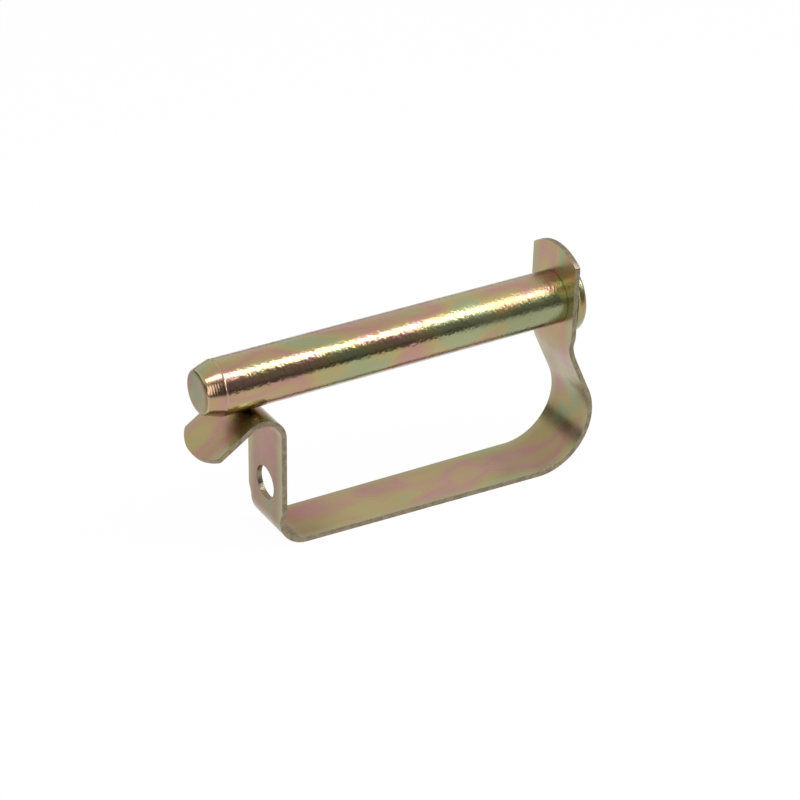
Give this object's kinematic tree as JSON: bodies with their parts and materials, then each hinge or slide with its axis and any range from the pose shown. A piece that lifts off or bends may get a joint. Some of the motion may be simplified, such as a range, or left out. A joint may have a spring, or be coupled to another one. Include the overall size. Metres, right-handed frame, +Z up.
{
  "type": "lynch pin",
  "caption": "Round locking pin with a folded flat spring strap: a ramp, a spring fold and a catch plate under the nose, a lanyard hole, and a riveted head.",
  "frame": {"origin": "middle of the box around the part, on the plane that the strap's base stands on", "axes": "+X from the pin's nose to its head along the strap's base, +Z up, XZ is the plane of symmetry; the pin climbs by 1.5 degrees towards its head"},
  "size_m": [0.0796, 0.0142, 0.0444],
  "materials": {
    "pin_plating": "turned bar, yellow passivated zinc with pink and green bloom, satin gloss",
    "strap_plating": "rolled sheet, yellow passivated zinc with pink and green bloom, satin"
  },
  "bodies": {
    "pin": {"locking_pin": "pin_plating"},
    "strap": {"spring_strap": "strap_plating"}
  },
  "joints": [
    {"name": "strap_swivel", "type": "hinge", "parent": "pin", "child": "strap", "pos_m": [0.03337, 0, 0.03382], "axis": [0.9997, 0, 0.0262], "continuous": true}
  ]
}
